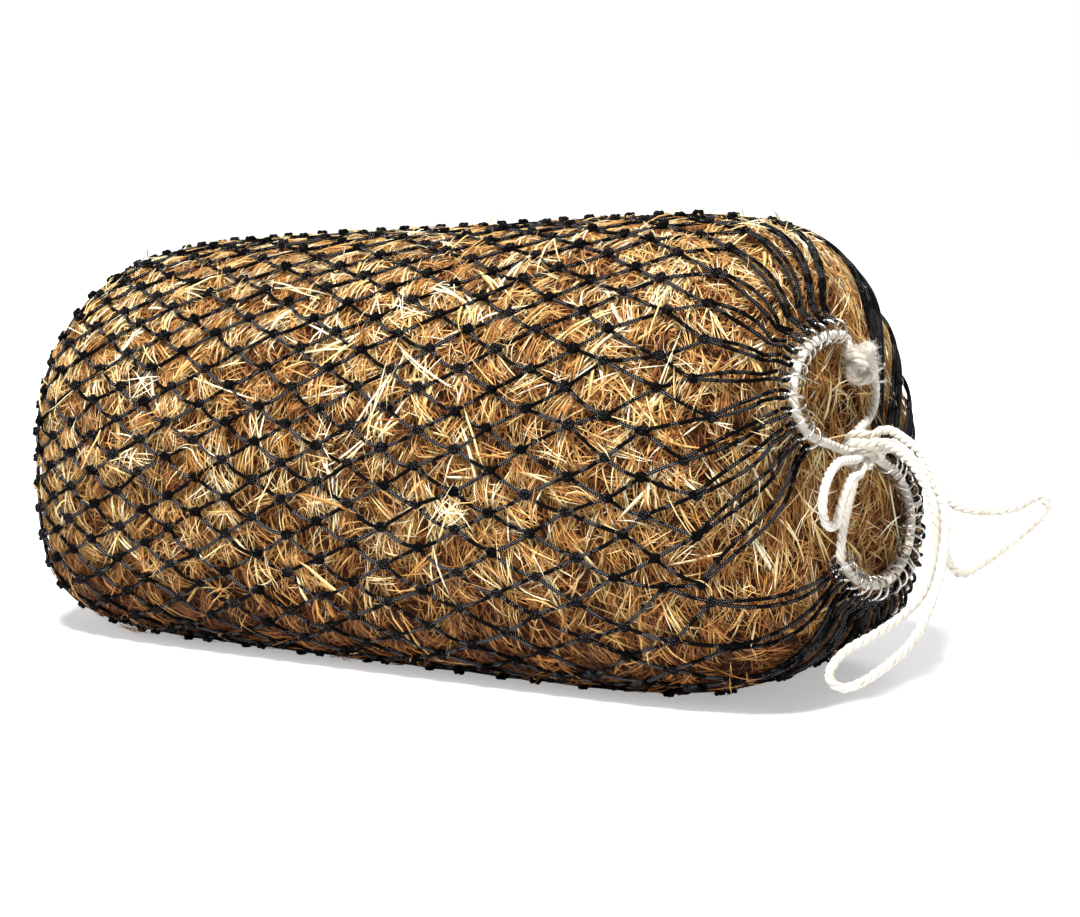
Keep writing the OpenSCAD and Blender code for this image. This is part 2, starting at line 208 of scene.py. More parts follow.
def tubes(name, paths, half_width, half_height, up, sides, material, tint=None, pointed=False):
    """Closed tubes round many paths of k points each: (n, k, 3). Widths are one number or (n, k).

    Pointed tubes have no width at their ends; any others get one more station at each end to close them.
    """
    n, k, _ = paths.shape
    half_width = np.broadcast_to(half_width, (n, k))
    half_height = np.broadcast_to(half_height, (n, k))
    tangent = unit(np.gradient(paths, axis=1))
    side = unit(np.cross(tangent, np.broadcast_to(up, paths.shape)))
    top = np.cross(side, tangent)
    distance = np.linalg.norm(np.diff(paths, axis=1), axis=2).cumsum(axis=1)
    distance = np.concatenate([np.zeros((n, 1)), distance], axis=1)
    ends = list(range(k)) if pointed else [0, *range(k), k - 1]
    stations = len(ends)
    closed = np.ones(stations)
    closed[[0, -1]] = 0
    angle = 2 * math.pi * np.arange(sides) / sides
    spread = (
        (half_width[:, ends] * closed)[..., None, None] * np.cos(angle)[:, None] * side[:, ends, None]
        + (half_height[:, ends] * closed)[..., None, None] * np.sin(angle)[:, None] * top[:, ends, None]
    )
    points = paths[:, ends, None] + spread
    station, q = np.meshgrid(np.arange(stations - 1), np.arange(sides), indexing="ij")
    after = (q + 1) % sides
    here, beyond = station * sides, (station + 1) * sides
    quad = np.stack([here + q, here + after, beyond + after, beyond + q], axis=-1).reshape(-1, 4)
    quads = (np.arange(n)[:, None, None] * stations * sides + quad).reshape(-1, 4)
    # the weave layer is metres along and share round; the bake layer gives each tube its own cell
    around = np.stack([q, q + 1, q + 1, q], axis=-1) / sides
    length = distance[:, ends]
    near, far = length[:, :-1, None, None], length[:, 1:, None, None]
    ones = np.ones((1, 1, sides, 1))
    along = np.concatenate([near * ones, near * ones, far * ones, far * ones], axis=-1)
    around = np.broadcast_to(around, along.shape)
    columns = 1 if n <= 12 else math.ceil(math.sqrt(n))
    rows = math.ceil(n / columns)
    index = np.arange(n)[:, None, None, None]
    share = along / np.maximum(distance[:, -1], 1e-9)[:, None, None, None]
    bake_u = (index % columns + 0.1 + 0.8 * share) / columns
    bake_v = (index // columns + 0.1 + 0.8 * around) / rows
    uvs = {
        "Weave": np.stack([along, around], axis=-1).reshape(-1, 2),
        "OFBake": np.stack([bake_u, bake_v], axis=-1).reshape(-1, 2),
    }
    tint = np.full(n, 0.5) if tint is None else tint
    return make_mesh(name, points.reshape(-1, 3), quads, uvs, np.repeat(tint, stations * sides), material)


def smooth_curve(controls, spacing):
    """A smooth curve through the control points, as points spaced evenly along it."""
    c = np.asarray(controls, float)
    c = np.vstack([2 * c[0] - c[1], c, 2 * c[-1] - c[-2]])
    t = np.linspace(0, 1, 24, endpoint=False)[:, None]
    pieces = [
        0.5 * (2 * b + (d - a) * t + (2 * a - 5 * b + 4 * d - e) * t ** 2 + (3 * b - a - 3 * d + e) * t ** 3)
        for a, b, d, e in zip(c, c[1:], c[2:], c[3:])
    ]
    dense = np.vstack([*pieces, c[-2:-1]])
    distance = np.concatenate([[0], np.linalg.norm(np.diff(dense, axis=0), axis=1).cumsum()])
    at = np.linspace(0, distance[-1], max(4, int(distance[-1] / spacing)))
    return np.stack([np.interp(at, distance, dense[:, i]) for i in range(3)], axis=-1)


def carried_frame(path):
    """Two directions square to a path, carried along it without twisting."""
    tangent = unit(np.gradient(path, axis=0))
    side = np.empty_like(path)
    now = np.array([0.3, 0.2, 1.0])
    for i, t in enumerate(tangent):
        now = unit(now - (now @ t) * t)
        side[i] = now
    return side, np.cross(tangent, side)


# ---- materials ----


def srgb(code):
    """A linear colour from a hex code."""
    values = [int(code[i:i + 2], 16) / 255 for i in (1, 3, 5)]
    return [v / 12.92 if v < 0.04045 else ((v + 0.055) / 1.055) ** 2.4 for v in values] + [1.0]


class Nodes:
    """A short way to write a node tree whose result is one Principled surface."""

    def __init__(self, name, roughness, **settings):
        self.material = bpy.data.materials.new(name)
        self.material.use_nodes = True
        self.tree = self.material.node_tree
        self.surface = self.tree.nodes["Principled BSDF"]
        self.surface.inputs["Roughness"].default_value = roughness
        for key, value in settings.items():
            self.surface.inputs[key.replace("_", " ")].default_value = value

    def put(self, value, socket):
        """Sets a socket to a number or a colour, or links another node's output to it."""
        if isinstance(value, bpy.types.NodeSocket):
            self.tree.links.new(value, socket)
        elif value is not None:
            socket.default_value = value

    def math(self, operation, a, b=0.0):
        node = self.tree.nodes.new("ShaderNodeMath")
        node.operation = operation
        self.put(a, node.inputs[0])
        self.put(b, node.inputs[1])
        return node.outputs[0]

    def attribute(self, name):
        node = self.tree.nodes.new("ShaderNodeAttribute")
        node.attribute_name = name
        return node.outputs["Fac"]

    def weave(self):
        """Distance along the cord in metres, and share of the way round it."""
        uv = self.tree.nodes.new("ShaderNodeUVMap")
        uv.uv_map = "Weave"
        split = self.tree.nodes.new("ShaderNodeSeparateXYZ")
        self.tree.links.new(uv.outputs[0], split.inputs[0])
        return split.outputs[0], split.outputs[1]

    def vector(self, x, y, z=0.0):
        node = self.tree.nodes.new("ShaderNodeCombineXYZ")
        for value, socket in zip((x, y, z), node.inputs):
            self.put(value, socket)
        return node.outputs[0]

    def position(self):
        return self.tree.nodes.new("ShaderNodeTexCoord").outputs["Object"]

    def noise(self, vector, scale, detail=3.0, roughness=0.5):
        node = self.tree.nodes.new("ShaderNodeTexNoise")
        self.put(vector, node.inputs["Vector"])
        for key, value in (("Scale", scale), ("Detail", detail), ("Roughness", roughness)):
            node.inputs[key].default_value = value
        return node.outputs["Fac"]

    def ramp(self, factor, *stops):
        """A colour ramp from pairs of place and hex code."""
        node = self.tree.nodes.new("ShaderNodeValToRGB")
        elements = node.color_ramp.elements
        while len(elements) < len(stops):
            elements.new(0.5)
        for element, (place, code) in zip(elements, stops):
            element.position = place
            element.color = srgb(code)
        self.put(factor, node.inputs[0])
        return node.outputs[0]

    def mix(self, factor, a, b, kind="MIX"):
        node = self.tree.nodes.new("ShaderNodeMix")
        node.data_type = "RGBA"
        node.blend_type = kind
        self.put(factor, node.inputs[0])
        self.put(a, node.inputs[6])
        self.put(b, node.inputs[7])
        return node.outputs[2]

    def finish(self, color, height=None, strength=0.5, distance=0.0005, roughness=None):
        self.put(color, self.surface.inputs["Base Color"])
        self.put(roughness, self.surface.inputs["Roughness"])
        if height is not None:
            bump = self.tree.nodes.new("ShaderNodeBump")
            bump.inputs["Strength"].default_value = strength
            bump.inputs["Distance"].default_value = distance
            self.put(height, bump.inputs["Height"])
            self.tree.links.new(bump.outputs[0], self.surface.inputs["Normal"])
        return self.material


def hay_material():
    """Dried stems: each has its own tone, with painted shade and light in it, and paler streaks along it."""
    n = Nodes("hay", 0.55, Specular_IOR_Level=0.35)
    along, around = n.weave()
    streak = n.noise(n.vector(n.math("MULTIPLY", along, 60), n.math("MULTIPLY", around, 5)), 1.0)
    tone = n.math("ADD", n.attribute("tint"), n.math("MULTIPLY", n.math("SUBTRACT", streak, 0.5), 0.35))
    color = n.ramp(
        tone, (0.0, "#2E1507"), (0.2, "#6E3C15"), (0.42, "#A8682C"), (0.6, "#CC944B"),
        (0.76, "#E6C07A"), (0.9, "#F7E4AE"), (1.0, "#FEF6D8")
    )
    fibre = n.noise(n.vector(n.math("MULTIPLY", along, 90), n.math("MULTIPLY", around, 14)), 1.0)
    return n.finish(color, fibre, 0.4, 0.0004)


def packed_hay_material():
    """The hay under the loose strands, dark with the shade of what lies over it."""
    n = Nodes("packed_hay", 0.8, Specular_IOR_Level=0.2)
    place = n.position()
    fine = n.noise(place, 260, 6, 0.7)
    color = n.ramp(fine, (0.3, "#1A0B03"), (0.55, "#4A260D"), (0.75, "#80501F"))
    return n.finish(color, fine, 1.0, 0.003)


def cord_material():
    """Braided black cord, with painted highlights as light flecks on its crests where its tint allows them.
    """
    n = Nodes("net_cord", 0.75, Specular_IOR_Level=0.05)
    along, around = n.weave()
    steps = n.math("MULTIPLY", along, 2 * math.pi * 420)
    turns = n.math("MULTIPLY", around, 2 * math.pi * 3)
    left = n.math("SINE", n.math("ADD", steps, turns))
    right = n.math("SINE", n.math("SUBTRACT", steps, turns))
    braid = n.math("MAXIMUM", left, right)
    patches = n.noise(n.position(), 60, 3)
    crests = n.math("GREATER_THAN", n.math("ADD", left, right), 1.25)
    # painted highlight: light grey flecks on the braid's crests, where the tint allows
    painted_glint = n.math("MULTIPLY", n.math("GREATER_THAN", patches, 0.49), crests)
    painted_glint = n.math("MULTIPLY", painted_glint, n.attribute("tint"))
    base = n.ramp(n.noise(n.position(), 30), (0.3, "#020202"), (0.7, "#0A080A"))
    color = n.mix(painted_glint, base, srgb("#C9C5C6"))
    return n.finish(color, braid, 0.8, 0.0004)


def rope_material():
    """Soft laid cotton: fibres run along each strand, a little yellowed in places."""
    n = Nodes("cotton_rope", 0.9, Sheen_Weight=0.5, Specular_IOR_Level=0.2)
    along, around = n.weave()
    skew = n.math("ADD", n.math("MULTIPLY", around, 9), n.math("MULTIPLY", along, 160))
    fibre = n.noise(n.vector(n.math("MULTIPLY", along, 120), skew), 1.4, 4)
    color = n.ramp(n.noise(n.position(), 45), (0.3, "#D2CBBC"), (0.55, "#E1DCD1"), (0.8, "#ECE9E2"))
    shade = n.ramp(fibre, (0.25, "#D9D3C8"), (0.6, "#FFFFFF"))
    return n.finish(n.mix(1.0, color, shade, "MULTIPLY"), fibre, 0.4, 0.0005)


def steel_material():
    """Plated wire with fine rubbing marks."""
    n = Nodes("ring_steel", 0.25, Metallic=1.0)
    rub = n.noise(n.position(), 400, 3)
    color = n.ramp(n.noise(n.position(), 90), (0.3, "#857C70"), (0.7, "#DEDBD5"))
    rough = n.math("ADD", 0.14, n.math("MULTIPLY", rub, 0.28))
    return n.finish(color, rub, 0.15, 0.0002, rough)


HAY, PACKED, NET, ROPE, STEEL = (
    hay_material(), packed_hay_material(), cord_material(), rope_material(), steel_material()
)

# ---- netting ----

KNOT_STRAY = 1.8 * MM     # how far knots stray along the bag
KNOT_TURN = 0.0011        # and round it, as a share of the whole way
KNOT_CORD = 2.3 * MM      # radius of the cord drawn up in a knot

rng = np.random.default_rng(11)
knot_rows = np.arange(ROWS + 1)
# the last five rows, near the mouth, are pulled about up to four times as much as the others
strayed = (1 + 3 * smoothstep(ROWS - 5, ROWS, knot_rows))[:, None]
knot_s = row_distance(knot_rows)[:, None] + strayed * rng.normal(0, KNOT_STRAY, (ROWS + 1, MESHES))
knot_w = (np.arange(MESHES) + ((knot_rows + 1) % 2)[:, None] / 2) / MESHES
knot_w = knot_w + strayed * rng.normal(0, KNOT_TURN, knot_w.shape)


def net_cords(first, last):
    """Centre lines of all cords between two half rows; slack ones hang down a little."""
    paths = []
    t = np.linspace(0, 1, 9)
    for i in range(first, last):
        shifted = (i + 1) % 2
        for side in (0, 1):
            k = (np.arange(MESHES) - 1 + side + shifted) % MESHES
            turn = knot_w[i + 1, k] - knot_w[i]
            turn = turn - np.round(turn)
            s = knot_s[i][:, None] + (knot_s[i + 1, k] - knot_s[i])[:, None] * t
            w = knot_w[i][:, None] + turn[:, None] * t
            arch = 4 * t * (1 - t)
            points, _, around, outward = surface(s, w, (-0.9 + 0.9 * (2 * t - 1) ** 4) * MM)
            down = np.array([0, 0, -1.0]) + outward * outward[..., 2:3]
            # one of the two cords under a knot hangs slack, least where the net is pulled tight
            slack = (1.4 + 4.6 * side) * smoothstep(-4, 8, i) * (1 - 0.6 * smoothstep(16, 27, i)) * MM
            slack = slack * rng.uniform(0.5, 1.4, (MESHES, 1))
            stray = rng.normal(0, 0.8 * MM, (MESHES, 1))
            paths.append(points + (slack * arch)[..., None] * down + (stray * arch)[..., None] * around)
    paths = np.concatenate(paths)
    paths[..., 2] = np.maximum(paths[..., 2], CORD)
    return paths


def net_knots(first, last):
    """A small tied lump for every knot from one half row up to another."""
    rows = slice(first, last)
    s, w = knot_s[rows].ravel(), knot_w[rows].ravel()
    centre, along, around, outward = surface(s, w, 0.9 * MM)
    t = np.linspace(0, 2 * math.pi, 27)
    size = rng.uniform(0.9, 1.2, (len(s), 1, 1)) * MM
    roll = rng.uniform(0, 2 * math.pi, (len(s), 1))
    reach = 3.1 + 0.9 * np.cos(3 * t)
    flat_x, flat_y = reach * np.cos(2 * t + roll), 0.8 * reach * np.sin(2 * t + roll)
    depth = 2.2 * np.sin(3 * t)[None, :] + np.zeros_like(flat_x)
    paths = centre[:, None] + size * (
        flat_x[..., None] * along[:, None] + flat_y[..., None] * around[:, None]
        + depth[..., None] * outward[:, None]
    )
    paths[..., 2] = np.maximum(paths[..., 2], CORD)
    return paths, outward[:, None]


def from_middle(paths):
    """A steady direction for the corners of cords on the bag: away from its middle line."""
    return unit(paths - np.array([0, 0, HEIGHT / 2]))


def add_netting(node, first, last, last_knots):
    """Cords and knots from one half row to another, standing for one node of the CAD."""
    cords = net_cords(first, last)
    cord = tubes(node + "_cords", cords, CORD, CORD, from_middle(cords), 7, NET)
    paths, outward = net_knots(first, last_knots)
    # how much painted highlight the knots' crests get
    painted_glint_share = np.full(len(paths), 0.1)
    knot = tubes(node + "_knots", paths, KNOT_CORD, KNOT_CORD, outward, 6, NET, painted_glint_share)
    for obj in (cord, knot):
        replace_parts(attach(obj, "filled_net"), node)


add_netting("closed_end_netting", 0, END_ROWS, END_ROWS)
add_netting("side_netting", END_ROWS, ROWS, ROWS + 1)

# ---- hay ----

BULGE = 10 * MM           # how far hay pushes out in the middle of a mesh
DEEPEST, HIGHEST = -18 * MM, 16 * MM


def scatter(count, rng):
    """Random places spread evenly over the bag, as s and w."""
    s_edges, w_edges = np.linspace(2 * MM, TOTAL - 2 * MM, 161), np.linspace(0, 1, 121)
    grid = over_bag(*np.meshgrid(s_edges, w_edges, indexing="ij"))
    corner = grid[:-1, :-1]
    area = np.linalg.norm(np.cross(grid[1:, :-1] - corner, grid[:-1, 1:] - corner), axis=-1)
    cell = rng.choice(area.size, count, p=area.ravel() / area.sum())
    i, j = np.divmod(cell, area.shape[1])
    s = s_edges[i] + rng.random(count) * (s_edges[1] - s_edges[0])
    w = w_edges[j] + rng.random(count) * (w_edges[1] - w_edges[0])
    return s, w


def strands(name, tufts, members, length, width, flat, depth, rise, curl, tone, seed, spread=0.2):
    """Loose hay lying on the bag in tufts of nearly parallel stems or blades.

    Lengths, widths and heights over the bag are ranges in millimetres. The ratio flat is thickness over
    width, rise and curl are spreads of slopes, tone is a middle and a spread along the hay's colours, and
    spread is how far the members of a tuft point apart, in radians.
    """
    rng = np.random.default_rng(seed)
    count = tufts * members
    s, w = (np.repeat(part, members) for part in scatter(tufts, rng))
    base, along, around, outward = surface(s, w)

    def shared(draw):
        """One value for each tuft, given to all its members."""
        return np.repeat(draw, members, axis=0)

    # most tufts lie round the bag, as the hay was pushed in
    round_bag = rng.normal(math.pi / 2, 0.5, tufts)
    heading = np.where(rng.random(tufts) < 0.55, round_bag, rng.uniform(0, 2 * math.pi, tufts))
    heading = shared(heading) + rng.normal(0, spread, count)
    forward = np.cos(heading)[:, None] * along + np.sin(heading)[:, None] * around
    sideways = np.cos(heading)[:, None] * around - np.sin(heading)[:, None] * along
    t = np.linspace(-1, 1, 5)
    half = MM * rng.uniform(*length, count)[:, None] / 2
    aside = rng.normal(0, 2.5 * MM * math.sqrt(members), (count, 1))
    bow = (shared(rng.normal(0, curl, (tufts, 1))) + rng.normal(0, 0.5 * curl, (count, 1))) * half
    x = half * t + rng.normal(0, 0.15, (count, 1)) * half
    y = aside + bow * (t * t - 0.4) + rng.normal(0, 0.3 * curl, (count, 1)) * half * t ** 3
    flat_points = base[:, None] + x[..., None] * forward[:, None] + y[..., None] * sideways[:, None]
    points, s_at, w_at, outward_at = nearest(flat_points)
    layer = MM * (shared(rng.uniform(*depth, (tufts, 1))) + rng.normal(0, 1.2, (count, 1)))
    tilt = (shared(rng.normal(0, rise, (tufts, 1))) + rng.normal(0, 0.5 * rise, (count, 1))) * half * t
    arch = -np.abs(rng.normal(0, 0.08, (count, 1))) * half * t * t
    bulge = 0.3 * mesh_bulge(s_at, w_at) + 0.7 * mesh_bulge(s, w)[:, None]
    lift = np.clip(layer + BULGE * (bulge - 0.75) + tilt + arch, DEEPEST, HIGHEST)
    points = points + lift[..., None] * outward_at
    points[..., 2] = np.maximum(points[..., 2], 1.2 * MM)
    taper = np.array([0, 0.85, 1, 0.85, 0])
    wide = MM * rng.uniform(*width, (count, 1)) / 2 * taper
    roll = rng.normal(0, 0.7, (count, 1))
    up = outward_at + roll[..., None] * sideways[:, None]
    # painted shade: the hay is darker deep down between the strands, at the mouth and towards the underside;
    # painted light makes the hay on top a little paler
    shade = 0.46 * (1 - smoothstep(-12 * MM, -1 * MM, layer[:, 0]))
    shade += 0.03 * smoothstep(0.84, 0.9, s / TOTAL)
    shade += 0.4 * smoothstep(0.05, -0.85, outward[:, 2]) - 0.06 * smoothstep(0.2, 0.8, outward[:, 2])
    tint = shared(rng.normal(0, 0.6, tufts)) + rng.normal(0, 0.8, count)
    tint = np.clip(tone[0] + tone[1] * tint - shade, 0, 1)
    obj = tubes(name, points, wide, wide * flat, up, 3, HAY, tint, pointed=True)
    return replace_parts(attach(obj, "filled_net"), "hay_fill")


def packed_hay():
    """The body of the hay, a little under the loose strands."""
    rng = np.random.default_rng(3)
    rows, columns = 150, 120
    s_lines, w_lines = np.linspace(1 * MM, TOTAL - 1 * MM, rows), np.arange(columns) / columns
    s, w = np.meshgrid(s_lines, w_lines, indexing="ij")
    rough = rng.normal(0, 2.0 * MM, s.shape)
    rough[[0, -1]] = 0
    points = surface(s, w, -14 * MM + 6 * MM * mesh_bulge(s, w) + rough)[0]
    points[..., 2] = np.maximum(points[..., 2], 3 * MM)
    i, j = np.meshgrid(np.arange(rows - 1), np.arange(columns), indexing="ij")
    after = (j + 1) % columns
    here, beyond = i * columns, (i + 1) * columns
    quads = np.stack([here + j, beyond + j, beyond + after, here + after], -1)
    corners_u = np.stack([i, i + 1, i + 1, i], -1) / rows
    corners_v = np.stack([j, j, j + 1, j + 1], -1) / columns
    uvs = {"OFBake": np.stack([corners_u, corners_v], -1).reshape(-1, 2)}
    tint = np.full(rows * columns, 0.3)
    obj = make_mesh("packed_hay", points.reshape(-1, 3), quads.reshape(-1, 4), uvs, tint, PACKED)
    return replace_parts(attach(obj, "filled_net"), "hay_fill")


packed_hay()
for batch in range(4):
    strands(
        f"under_hay_{batch}", 1500, 6, (18, 45), (1.0, 2.0), 0.5, (-14, -7), 0.05, 0.08,
        (0.66, 0.16), 10 + batch, 0.35
    )
for batch in range(8):
    strands(
        f"fine_hay_{batch}", 1150, 7, (18, 56), (0.8, 1.4), 0.7, (-11, 0.5), 0.1, 0.07,
        (0.55, 0.24), 20 + batch
    )
for batch in range(2):
    strands(
        f"stems_{batch}", 1700, 5, (28, 72), (1.1, 2.0), 0.6, (-8, 1), 0.07, 0.04,
        (0.66, 0.19), 40 + batch
    )
strands("curly_hay", 2200, 3, (18, 40), (0.6, 1.1), 0.7, (-4, 2), 0.15, 0.7, (0.68, 0.16), 45, 0.8)
strands("blades", 800, 2, (25, 85), (2.6, 5.2), 0.12, (-5, 1), 0.06, 0.06, (0.78, 0.13), 50)
strands("long_straws", 260, 3, (60, 120), (1.6, 3.0), 0.45, (-1, 2), 0.03, 0.05, (0.86, 0.1), 55, 0.35)
strands("loose_ends", 450, 2, (20, 55), (0.8, 1.8), 0.4, (0, 5), 0.35, 0.25, (0.85, 0.12), 60)
strands("loose_tufts", 90, 9, (22, 60), (0.9, 2.0), 0.4, (1, 5), 0.25, 0.15, (0.9, 0.1), 65, 1.2)

# ---- mouth ----

NORMAL = np.array(joints["rope_tail_pull"]["axis"])
UP = np.array(joints["outer_loop_swing"]["axis"])
ACROSS = np.array([0, 1.0, 0])
HITCH = np.array(joints["outer_loop_swing"]["pos_m"])
ROPE_LIFT = 9 * MM        # rope's centre line over the face
ROPE_RADIUS = 4.5 * MM
RING_RADIUS = 11.5 * MM
RING_WIRE = 1.35 * MM      # radius of the wire
RING_OFFSET = 3.1 * MM    # from the rope's centre out to a ring's centre
FOOT_REACH = 18 * MM      # from a ring to the end of its long mesh on the bag


class Loop:
    """One loop of the rope's figure of eight, lying on the mouth face."""

    def __init__(self, joint, half_width, half_height):
        self.centre = np.array(joints[joint]["pos_m"])
        self.half = np.array([half_width, half_height])

    def at(self, degrees):
        b = np.radians(degrees)
        return self.centre + self.half[0] * np.cos(b) * ACROSS + self.half[1] * np.sin(b) * UP

    def outward(self, degrees):
        b = math.radians(degrees)
        return unit(math.cos(b) / self.half[0] * ACROSS + math.sin(b) / self.half[1] * UP)


upper_loop = Loop("upper_rings_slide", 96 * MM, 53 * MM)
lower_loop = Loop("lower_rings_slide", 93 * MM, 60 * MM)
upper_angles = [-2, 11, *np.linspace(80, 222, 13)]
lower_angles = np.linspace(60, -157, MESHES - len(upper_angles))
FIRST_UPPER = -3          # mesh on the first ring of the upper loop, counted round from the top
HOOK_POINTS, CORD_POINTS = 16, 40


def ring_paths(loop, angles, rng):
    """Rings threaded on the rope, each turned about the line its mesh pulls it along."""
    t = np.linspace(0, 2 * math.pi, 33)[:, None]
    paths, ups = [], []
    for b in angles:
        outward = loop.outward(b)
        lengthways = np.cross(NORMAL, outward)
        tilt = rng.normal(0, 0.42)
        across = math.cos(tilt) * NORMAL + math.sin(tilt) * lengthways
        centre = loop.at(b) + RING_OFFSET * outward
        paths.append(centre + RING_RADIUS * (np.cos(t) * outward + np.sin(t) * across))
        ups.append(np.broadcast_to(np.cross(outward, across), (33, 3)))
    return np.array(paths), np.array(ups)


def mesh_middle(knot, foot, rng):
    """A cord pulled straight over the bag from a knot to the foot of a ring, and its sideways direction."""
    t = np.linspace(0, 1, 14)[:, None]
    middle, _, _, outward = nearest(knot + (foot - knot) * t, 5)
    down = np.array([0, 0, -1.0]) + outward * outward[:, 2:3]
    lift = 1.4 + rng.uniform(0, 3) * np.sin(math.pi * t)
    middle = middle + MM * (lift * outward + rng.uniform(0, 7) * t * (1 - t) * down)
    return middle, unit(np.cross(outward, np.gradient(middle, axis=0)))


def mesh_paths(loop, angles, meshes, rng):
    """For each long mesh: its two cords from the knot to the ring, and the hook through the ring."""
    cords, hooks = [], []
    for b, mesh in zip(angles, meshes):
        outward = loop.outward(b)
        lengthways = np.cross(NORMAL, outward)
        wire = loop.at(b) + (RING_OFFSET + RING_RADIUS) * outward
        foot = wire + FOOT_REACH * outward - ROPE_LIFT * NORMAL
        knot = over_bag(knot_s[ROWS, mesh % MESHES], knot_w[ROWS, mesh % MESHES])
        middle, sideways = mesh_middle(knot, foot, rng)
        reach = RING_WIRE + CORD + 0.5 * MM
        steps = [(7, 1, 0.2), (-1, 0.9, 0.85), (-4.5, 0, 1.0), (-1, -0.9, 0.85), (7, -1, 0.2)]
        hook = np.array([
            wire + out * MM * outward + share * reach * lengthways - ROPE_LIFT * (1 - height) * NORMAL
            for out, share, height in steps
        ])
        hooks.append(smooth_curve(hook, 1.5 * MM)[np.linspace(0, 17, HOOK_POINTS).astype(int)])
        t = np.linspace(0, 1, len(middle))[:, None]
        spread = MM * (0.8 + 1.8 * t + rng.uniform(1, 4.5) * np.sin(math.pi * t))
        for side, last in ((1, hook[0]), (-1, hook[-1])):
            aside = side * np.sign((hook[0] - hook[-1]) @ sideways[-1]) * spread * sideways
            curve = smooth_curve(np.vstack([middle + aside, last]), 2 * MM)
            cords.append(curve[np.linspace(0, len(curve) - 1, CORD_POINTS).round().astype(int)])
    cords = np.array(cords)
    cords[..., 2] = np.maximum(cords[..., 2], CORD)
    return cords, np.array(hooks)


def add_mouth(loop, angles, meshes, prefix, seed):
    """Rings, long meshes and hooks of one loop of the figure of eight."""
    rng = np.random.default_rng(seed)
    body, ring_body = prefix + "_draw_loop", prefix + "_ring_set"
    paths, ups = ring_paths(loop, angles, rng)
    rings = tubes(prefix + "_rings_steel", paths, RING_WIRE, RING_WIRE, ups, 8, STEEL)
    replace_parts(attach(rings, ring_body), prefix + "_rings")
    cords, hooks = mesh_paths(loop, angles, meshes, rng)
    # how much painted highlight the mouth cords' crests get
    painted_glint_share = np.full(len(cords), 0.3)
    cord = tubes(prefix + "_mesh_cords", cords, CORD, CORD, from_middle(cords), 7, NET, painted_glint_share)
    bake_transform(cord)
    hook = tubes(prefix + "_mesh_hooks", hooks, CORD, CORD, NORMAL, 6, NET)
    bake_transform(hook)
    for obj in (cord, hook):
        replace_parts(obj, prefix + "_mouth_meshes")


upper_meshes = [FIRST_UPPER + i for i in range(len(upper_angles))]
lower_meshes = [FIRST_UPPER - 1 - i for i in range(len(lower_angles))]
add_mouth(upper_loop, upper_angles, upper_meshes, "upper", 71)
add_mouth(lower_loop, lower_angles, lower_meshes, "lower", 72)

# ---- draw rope ----


def laid_rope(name, controls, radius=ROPE_RADIUS, pitch=27 * MM):
    """Three-strand rope along a smooth curve."""
    path = smooth_curve(controls, 1.6 * MM)
    side, other = carried_frame(path)
    distance = np.concatenate([[0], np.linalg.norm(np.diff(path, axis=0), axis=1).cumsum()])
    twist = -2 * math.pi * distance / pitch
    paths, ups = [], []
    for k in range(3):
        a = twist + 2 * math.pi * k / 3
        outward = np.cos(a)[:, None] * side + np.sin(a)[:, None] * other
        paths.append(path + 0.5 * radius * outward)
        ups.append(outward)
    obj = tubes(name, np.array(paths), 0.54 * radius, 0.54 * radius, np.array(ups), 9, ROPE)
    return obj, path


def fuzz(name, path, radius, per_metre, reach, seed):
    """Fine cotton fibres that stand off a rope."""
    rng = np.random.default_rng(seed)
    side, other = carried_frame(path)
    length = np.linalg.norm(np.diff(path, axis=0), axis=1).sum()
    count = max(8, int(per_metre * length))
    i = rng.integers(0, len(path), count)
    a = rng.uniform(0, 2 * math.pi, count)[:, None]
    outward = np.cos(a) * side[i] + np.sin(a) * other[i]
    lengthways = np.cross(side[i], other[i])
    lean = rng.normal(0, 1.2, (count, 1))
    t = np.linspace(0, 1, 4)[:, None]
    grow = unit(outward + lean * lengthways)[:, None]
    paths = (path[i] + 0.85 * radius * outward)[:, None] + reach * rng.uniform(0.4, 1, (count, 1, 1)) * (
        t * grow + 0.35 * t * t * rng.normal(0, 1, (count, 1, 3))
    )
    obj = tubes(name, paths, 0.13 * MM, 0.13 * MM, np.array([0.1, 0.3, 1.0]), 3, ROPE)
    return obj


def near(point, across, up, lift):
    """A point given by steps across, up and out of the mouth face, in millimetres."""
    return point + MM * (across * ACROSS + up * UP + lift * NORMAL)


def add_rope(node, parts, place):
    """Rope along each list of control points, with its fibres, each placed by place(obj)."""
    for number, controls in enumerate(parts):
        rope, path = laid_rope(f"{node}_{number}", controls)
        hairs = fuzz(f"{node}_fibres_{number}", path, ROPE_RADIUS, 900, 4 * MM, 80 + number)
        for obj in (rope, hairs):
            place(obj)
            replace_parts(obj, node)


def blend_from_hitch():
    """Bakes the rope's placing into its mesh; it puts the rope on no body."""
    return lambda obj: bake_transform(obj)


def steps_from_hitch(steps):
    return [HITCH + MM * np.array(step) for step in steps]


